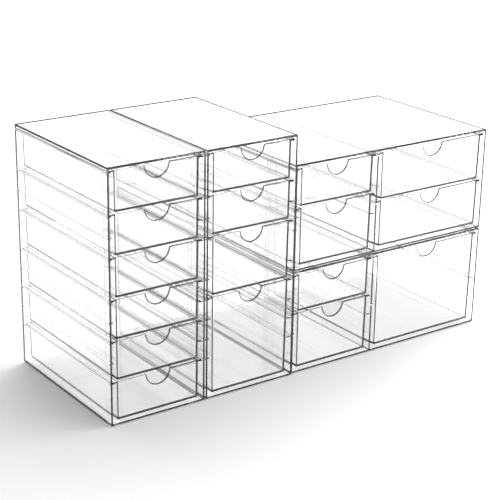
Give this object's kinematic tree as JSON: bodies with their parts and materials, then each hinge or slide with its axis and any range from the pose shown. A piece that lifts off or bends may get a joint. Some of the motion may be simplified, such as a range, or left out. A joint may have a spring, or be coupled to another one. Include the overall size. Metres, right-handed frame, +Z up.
{
  "type": "drawer organizer",
  "caption": "Clear stacking drawer set for craft stamps and small parts: box casings with side rails, and hanging tub drawers with finger notches.",
  "frame": {"origin": "on the table, under the middle of the whole set's bounding box", "axes": "+X to the right seen from the front, +Y towards the backs, +Z up; the drawers open towards -Y"},
  "size_m": [0.594, 0.2304, 0.3237],
  "materials": {
    "clear_casing": "clear, polished, colourless",
    "clear_feet": "clear, soft",
    "clear_drawer": "clear, polished, colourless"
  },
  "bodies": {
    "casings": {"left_tower_casing": "clear_casing", "middle_tower_casing": "clear_casing", "lower_wide_casing": "clear_casing", "upper_wide_casing": "clear_casing", "left_tower_feet": "clear_feet", "middle_tower_feet": "clear_feet", "lower_wide_casing_feet": "clear_feet", "upper_wide_casing_feet": "clear_feet"},
    "left_tower_drawer_1_body": {"left_tower_drawer_1": "clear_drawer"},
    "left_tower_drawer_2_body": {"left_tower_drawer_2": "clear_drawer"},
    "left_tower_drawer_3_body": {"left_tower_drawer_3": "clear_drawer"},
    "left_tower_drawer_4_body": {"left_tower_drawer_4": "clear_drawer"},
    "left_tower_drawer_5_body": {"left_tower_drawer_5": "clear_drawer"},
    "left_tower_drawer_6_body": {"left_tower_drawer_6": "clear_drawer"},
    "middle_tower_drawer_1_body": {"middle_tower_drawer_1": "clear_drawer"},
    "middle_tower_drawer_2_body": {"middle_tower_drawer_2": "clear_drawer"},
    "middle_tower_drawer_3_body": {"middle_tower_drawer_3": "clear_drawer"},
    "middle_tower_drawer_4_body": {"middle_tower_drawer_4": "clear_drawer"},
    "upper_small_drawer_body": {"upper_small_drawer": "clear_drawer"},
    "upper_medium_drawer_body": {"upper_medium_drawer": "clear_drawer"},
    "upper_wide_drawer_1_body": {"upper_wide_drawer_1": "clear_drawer"},
    "upper_wide_drawer_2_body": {"upper_wide_drawer_2": "clear_drawer"},
    "lower_small_drawer_body": {"lower_small_drawer": "clear_drawer"},
    "lower_medium_drawer_body": {"lower_medium_drawer": "clear_drawer"},
    "lower_large_drawer_body": {"lower_large_drawer": "clear_drawer"}
  },
  "joints": [
    {"name": "left_tower_drawer_1_slide", "type": "slide", "parent": "casings", "child": "left_tower_drawer_1_body", "axis": [0, -1, 0], "range_m": [0, 0.18]},
    {"name": "left_tower_drawer_2_slide", "type": "slide", "parent": "casings", "child": "left_tower_drawer_2_body", "axis": [0, -1, 0], "range_m": [0, 0.18]},
    {"name": "left_tower_drawer_3_slide", "type": "slide", "parent": "casings", "child": "left_tower_drawer_3_body", "axis": [0, -1, 0], "range_m": [0, 0.18]},
    {"name": "left_tower_drawer_4_slide", "type": "slide", "parent": "casings", "child": "left_tower_drawer_4_body", "axis": [0, -1, 0], "range_m": [0, 0.18]},
    {"name": "left_tower_drawer_5_slide", "type": "slide", "parent": "casings", "child": "left_tower_drawer_5_body", "axis": [0, -1, 0], "range_m": [0, 0.18]},
    {"name": "left_tower_drawer_6_slide", "type": "slide", "parent": "casings", "child": "left_tower_drawer_6_body", "axis": [0, -1, 0], "range_m": [0, 0.18]},
    {"name": "middle_tower_drawer_1_slide", "type": "slide", "parent": "casings", "child": "middle_tower_drawer_1_body", "axis": [0, -1, 0], "range_m": [0, 0.18]},
    {"name": "middle_tower_drawer_2_slide", "type": "slide", "parent": "casings", "child": "middle_tower_drawer_2_body", "axis": [0, -1, 0], "range_m": [0, 0.18]},
    {"name": "middle_tower_drawer_3_slide", "type": "slide", "parent": "casings", "child": "middle_tower_drawer_3_body", "axis": [0, -1, 0], "range_m": [0, 0.18]},
    {"name": "middle_tower_drawer_4_slide", "type": "slide", "parent": "casings", "child": "middle_tower_drawer_4_body", "axis": [0, -1, 0], "range_m": [0, 0.18]},
    {"name": "upper_small_drawer_slide", "type": "slide", "parent": "casings", "child": "upper_small_drawer_body", "axis": [0, -1, 0], "range_m": [0, 0.18]},
    {"name": "upper_medium_drawer_slide", "type": "slide", "parent": "casings", "child": "upper_medium_drawer_body", "axis": [0, -1, 0], "range_m": [0, 0.18]},
    {"name": "upper_wide_drawer_1_slide", "type": "slide", "parent": "casings", "child": "upper_wide_drawer_1_body", "axis": [0, -1, 0], "range_m": [0, 0.18]},
    {"name": "upper_wide_drawer_2_slide", "type": "slide", "parent": "casings", "child": "upper_wide_drawer_2_body", "axis": [0, -1, 0], "range_m": [0, 0.18]},
    {"name": "lower_small_drawer_slide", "type": "slide", "parent": "casings", "child": "lower_small_drawer_body", "axis": [0, -1, 0], "range_m": [0, 0.18]},
    {"name": "lower_medium_drawer_slide", "type": "slide", "parent": "casings", "child": "lower_medium_drawer_body", "axis": [0, -1, 0], "range_m": [0, 0.18]},
    {"name": "lower_large_drawer_slide", "type": "slide", "parent": "casings", "child": "lower_large_drawer_body", "axis": [0, -1, 0], "range_m": [0, 0.18]}
  ]
}
